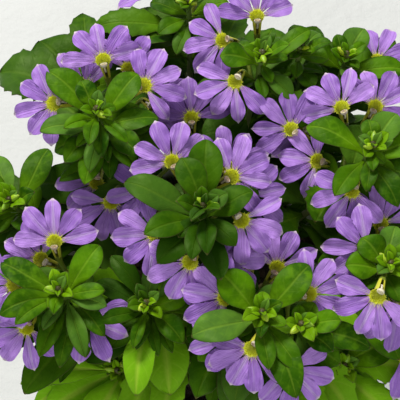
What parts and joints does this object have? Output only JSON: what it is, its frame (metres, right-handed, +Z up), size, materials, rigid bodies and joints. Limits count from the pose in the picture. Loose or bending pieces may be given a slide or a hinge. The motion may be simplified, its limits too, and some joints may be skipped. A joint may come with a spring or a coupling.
{
  "type": "potted fan flower",
  "caption": "Bushy bedding plant with leafy shoots and purple fan-shaped blooms, in a plain round nursery pot.",
  "frame": {"origin": "centre of the pot's flat underside", "axes": "+Z up, +X to the right as seen from the front, front towards -Y"},
  "size_m": [0.1843, 0.1865, 0.1919],
  "materials": {
    "pot": "satin moulded plastic",
    "soil": "loose dark potting soil of bark and peat",
    "leaf": "glossy green leaf",
    "petal": "soft matte petal"
  },
  "bodies": {
    "root": {"pot": "pot", "soil": "soil", "shoot_a": "leaf", "shoot_b": "leaf", "shoot_c": "leaf", "shoot_d": "leaf", "shoot_e": "leaf", "shoot_ee": "leaf", "shoot_f": "leaf", "shoot_ff": "leaf", "shoot_fff": "leaf", "shoot_g": "leaf", "shoot_h": "leaf", "shoot_i": "leaf", "shoot_k": "leaf", "shoot_l": "leaf", "shoot_j": "leaf", "shoot_m": "leaf", "bloom_a1": "petal", "bloom_a2": "petal", "bloom_a3": "petal", "bloom_a4": "petal", "bloom_a6": "petal", "bloom_a5": "petal", "bloom_b1": "petal", "bloom_b2": "petal", "bloom_b3": "petal", "bloom_b4": "petal", "bloom_b5": "petal", "bloom_b6": "petal", "bloom_c1": "petal", "bloom_c2": "petal", "bloom_c3": "petal", "bloom_c4": "petal", "bloom_c5": "petal", "bloom_e1": "petal", "bloom_e2": "petal", "bloom_e3": "petal", "bloom_e4": "petal", "bloom_e5": "petal", "bloom_e6": "petal", "bloom_e7": "petal", "bloom_f1": "petal", "bloom_f2": "petal", "bloom_f3": "petal", "bloom_f4": "petal", "bloom_f5": "petal", "bloom_g1": "petal", "bloom_g2": "petal", "bloom_g3": "petal", "bloom_g4": "petal", "bloom_g5": "petal", "bloom_h1": "petal", "bloom_h2": "petal", "bloom_h3": "petal", "bloom_h4": "petal", "bloom_i1": "petal", "bloom_i2": "petal", "bloom_k1": "petal", "bloom_l1": "petal"}
  },
  "joints": []
}
